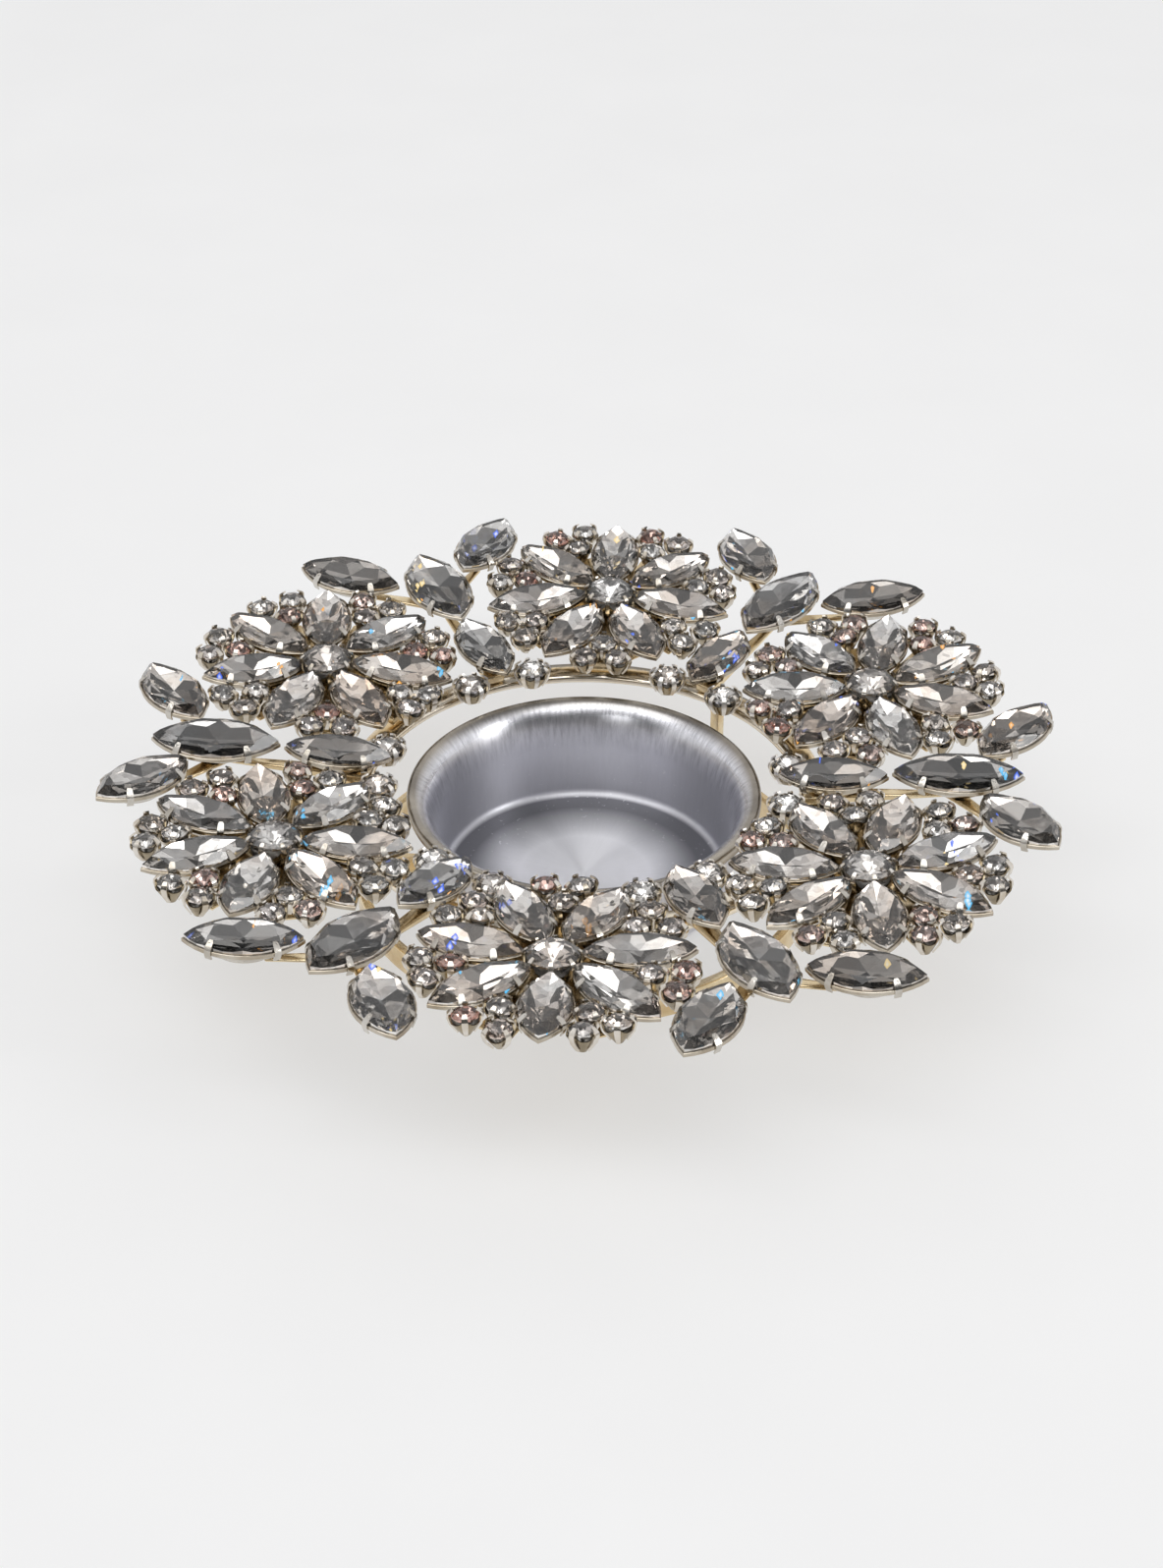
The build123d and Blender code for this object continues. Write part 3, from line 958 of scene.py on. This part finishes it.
def soften(name, width, plane=None, reshape=None):
    """Copy of a CAD node with its edges rounded, and its corners reshaped first where a plane is given."""
    mesh = bmesh.new()
    mesh.from_mesh(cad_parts[name].data)
    bmesh.ops.remove_doubles(mesh, verts=mesh.verts[:], dist=1e-6)
    bmesh.ops.dissolve_limit(
        mesh, angle_limit=math.radians(0.5), verts=mesh.verts[:], edges=mesh.edges[:]
    )
    if plane:
        for vertex in mesh.verts:
            vertex.co = plane @ reshape(plane.inverted() @ (vertex.co / MM)) * MM
    sharp = [edge for edge in mesh.edges if edge.calc_face_angle(0) > math.radians(25)]
    bmesh.ops.bevel(
        mesh, geom=sharp, offset=width * MM, segments=3, profile=0.5, affect="EDGES", clamp_overlap=True
    )
    made = bpy.data.meshes.new(f"{name}_soft")
    mesh.to_mesh(made)
    mesh.free()
    made.materials.append(frame_gold)
    made.polygons.foreach_set("use_smooth", [True] * len(made.polygons))
    made.set_sharp_from_angle(angle=math.radians(40))
    piece = bpy.data.objects.new(f"{name}_soft", made)
    bpy.context.scene.collection.objects.link(piece)
    stand(piece, name)


for number in range(1, SEGMENTS + 1):
    soften(f"flower_frame_{number}", FRAME_EDGE, wreath(flower_angle(number)), flower_corner)
    soften(f"sprig_frame_{number}", FRAME_EDGE, wreath(sprig_angle(number)), sprig_corner)
for name in ("foot_ring", "cup_support", "leg_1", "leg_2", "leg_3"):
    soften(name, FOOT_EDGE)

# Upper ring: a flat band with chamfered edges
RING_STEPS = 160
ring_outside = RING_RADIUS + RING_WIDTH
ring_low = RING_TOP - RING_THICKNESS
ring_profile = [
    (RING_RADIUS + RING_EDGE, ring_low),
    (ring_outside - RING_EDGE, ring_low),
    (ring_outside, ring_low + RING_EDGE),
    (ring_outside, RING_TOP - RING_EDGE),
    (ring_outside - RING_EDGE, RING_TOP),
    (RING_RADIUS + RING_EDGE, RING_TOP),
    (RING_RADIUS, RING_TOP - RING_EDGE),
    (RING_RADIUS, ring_low + RING_EDGE),
]
ring_band = Shape()
ring_band.band([Round(radius).ring(height, RING_STEPS) for radius, height in ring_profile])
stand(ring_band.build("ring_band", [ring_gold], sharp=60.0), "upper_ring")


# Tealight cup: turned wall, flared mouth and rolled lip. Pairs are a radius and a height.
CUP_UNDERSIDE = 1.42
CUP_FLOOR = 2.2
CUP_TOP = 16.8
CUP_FLOOR_RADIUS = 20.65
CUP_FLOOR_FILLET = 1.0
CUP_FOOT_RADIUS = 21.5
CUP_FOOT_FILLET = 1.5
WALL_MIDDLE = (20.85, 7.0)
FLARE_START = (21.02, 10.2)
FLARE_CORNER = (21.5, 16.2)
FLARE_RADIUS = 24.65
LIP_ROLL = 0.65
LIP_EDGE = (25.06, 15.2)
LIP_EDGE_ROLL = 0.16
LIP_BACK = (24.8, 15.85)
OUTSIDE_START = (24.4, 15.85)
OUTSIDE_CORNER = (22.4, 15.1)
OUTSIDE_END = (21.9, 10.4)
TURNED_STEPS = 128


def arc_points(centre, radius, start, end, steps):
    """Points of an arc between two angles."""
    turns = [math.radians(start + (end - start) * step / steps) for step in range(steps + 1)]
    return [(centre[0] + radius * math.cos(turn), centre[1] + radius * math.sin(turn)) for turn in turns]


def bend_points(first, corner, last, steps):
    """Points of a smooth bend that sets off towards a corner and arrives from it."""
    points = []
    for step in range(steps + 1):
        go = step / steps
        weights = ((1 - go) ** 2, 2 * go * (1 - go), go**2)
        ends = (first, corner, last)
        points.append(tuple(sum(w * end[axis] for w, end in zip(weights, ends)) for axis in (0, 1)))
    return points


def cup_profile():
    """Half of the cup's section: up its inside, round the lip and down its outside."""
    floor_centre = (CUP_FLOOR_RADIUS - CUP_FLOOR_FILLET, CUP_FLOOR + CUP_FLOOR_FILLET)
    foot_centre = (CUP_FOOT_RADIUS - CUP_FOOT_FILLET, CUP_UNDERSIDE + CUP_FOOT_FILLET)
    lip_centre = (FLARE_RADIUS, CUP_TOP - LIP_ROLL)
    return [
        *arc_points(floor_centre, CUP_FLOOR_FILLET, -90, 0, 4),
        WALL_MIDDLE,
        *bend_points(FLARE_START, FLARE_CORNER, (FLARE_RADIUS, CUP_TOP), 6),
        *arc_points(lip_centre, LIP_ROLL, 60, 0, 2),
        *arc_points(LIP_EDGE, LIP_EDGE_ROLL, 0, -180, 2),
        LIP_BACK,
        *bend_points(OUTSIDE_START, OUTSIDE_CORNER, OUTSIDE_END, 4),
        *arc_points(foot_centre, CUP_FOOT_FILLET, 0, -90, 2),
    ]


cup = Shape()
cup.rings([Round(radius).ring(height, TURNED_STEPS) for radius, height in cup_profile()])
stand(cup.build("cup_spun", [cup_metal], sharp=60.0), "tealight_cup")

# Floor, in metres from here on
FLOOR_REACH = 4.0
floor_corners = [(x * FLOOR_REACH, y * FLOOR_REACH, 0) for x, y in ((-1, -1), (1, -1), (1, 1), (-1, 1))]
floor_mesh = bpy.data.meshes.new("floor")
floor_mesh.from_pydata(floor_corners, [], [(0, 1, 2, 3)])
floor_mesh.materials.append(floor_paint)
floor = bpy.data.objects.new("floor", floor_mesh)
bpy.context.scene.collection.objects.link(floor)

# Sky: a pale studio with three dark patches, which the stones show as dark facets
world = bpy.data.worlds.new("studio")
world.use_nodes = True
bpy.context.scene.world = world
sky = world.node_tree
sky_place = sky.nodes.new("ShaderNodeTexCoord").outputs["Generated"]


def vector_math(operation, first, second=None):
    made = sky.nodes.new("ShaderNodeVectorMath")
    made.operation = operation
    sky.links.new(first, made.inputs[0])
    if second:
        made.inputs[1].default_value = second
    return made.outputs


def dark_patch(direction, squeeze, near, far, depth):
    """Share of light left at an angle from a direction: dark near it, bright away from it."""
    narrow = vector_math("MULTIPLY", sky_place, (squeeze, 1, 1))["Vector"]
    facing = vector_math("DOT_PRODUCT", vector_math("NORMALIZE", narrow)["Vector"], direction)["Value"]
    return map_range(sky, facing, (far, near), (1.0, depth))


front_patch = dark_patch((0.08, -0.92, 0.38), squeeze=0.6, near=0.82, far=0.66, depth=0.1)
back_patch = dark_patch((0.0, 1.0, 0.0), squeeze=1.0, near=0.985, far=0.955, depth=0.4)
high_patch = dark_patch((0.0, 0.31, 0.95), squeeze=0.5, near=0.97, far=0.92, depth=0.3)
light_left = multiply(sky, multiply(sky, front_patch, back_patch), high_patch)
sky_colour = ramp(sky, light_left, [(0.0, grey(0.0)), (1.0, (0.82, 0.82, 0.83))])
sky.links.new(sky_colour, sky.nodes["Background"].inputs["Color"])
sky.nodes["Background"].inputs["Strength"].default_value = 1.0


# Lamps, all turned to the wreath's middle
LAMP_AIM = upright(0.02)


def softbox(name, place, width, height, power):
    light = bpy.data.lights.new(name, "AREA")
    light.shape = "RECTANGLE"
    light.size = width
    light.size_y = height
    light.energy = power
    lamp = bpy.data.objects.new(name, light)
    lamp.location = place
    lamp.rotation_euler = (LAMP_AIM - Vector(place)).to_track_quat("-Z", "Y").to_euler()
    bpy.context.scene.collection.objects.link(lamp)


softbox("overhead", (-0.1, -0.25, 0.89), width=1.1, height=0.52, power=3.0)
softbox("side", (0.8, -0.2, 0.5), width=0.16, height=0.4, power=1.2)
softbox("front", (-0.35, -0.9, 0.6), width=0.3, height=0.3, power=0.6)

# Camera, solved from the round rim in the photograph
PHOTO_WIDTH_PIXELS = 1184
FOCAL_PIXELS = 3153.4
AIM_RIGHT_PIXELS = 2.6
AIM_UP_PIXELS = -6.9
SENSOR_WIDTH = 36.0
CAMERA_DISTANCE = 0.4416
CAMERA_AZIMUTH = math.radians(4.92)
CAMERA_ELEVATION = math.radians(33.89)
camera_data = bpy.data.cameras.new("camera")
camera_data.sensor_fit = "HORIZONTAL"
camera_data.sensor_width = SENSOR_WIDTH
camera_data.lens = FOCAL_PIXELS / PHOTO_WIDTH_PIXELS * SENSOR_WIDTH
camera_data.clip_start = 0.01
camera = bpy.data.objects.new("camera", camera_data)
level_back = Vector((math.sin(CAMERA_AZIMUTH), -math.cos(CAMERA_AZIMUTH), 0))
back = level_back * math.cos(CAMERA_ELEVATION) + upright(math.sin(CAMERA_ELEVATION))
right = upright(1).cross(back).normalized()
up = back.cross(right)
pixel = CAMERA_DISTANCE / FOCAL_PIXELS
aim = upright(RING_TOP * MM) - right * AIM_RIGHT_PIXELS * pixel - up * AIM_UP_PIXELS * pixel
facing = Matrix((right, up, back)).transposed().to_4x4()
camera.matrix_world = Matrix.Translation(aim + back * CAMERA_DISTANCE) @ facing
bpy.context.scene.collection.objects.link(camera)
bpy.context.scene.camera = camera
bpy.context.scene.view_settings.view_transform = "Standard"
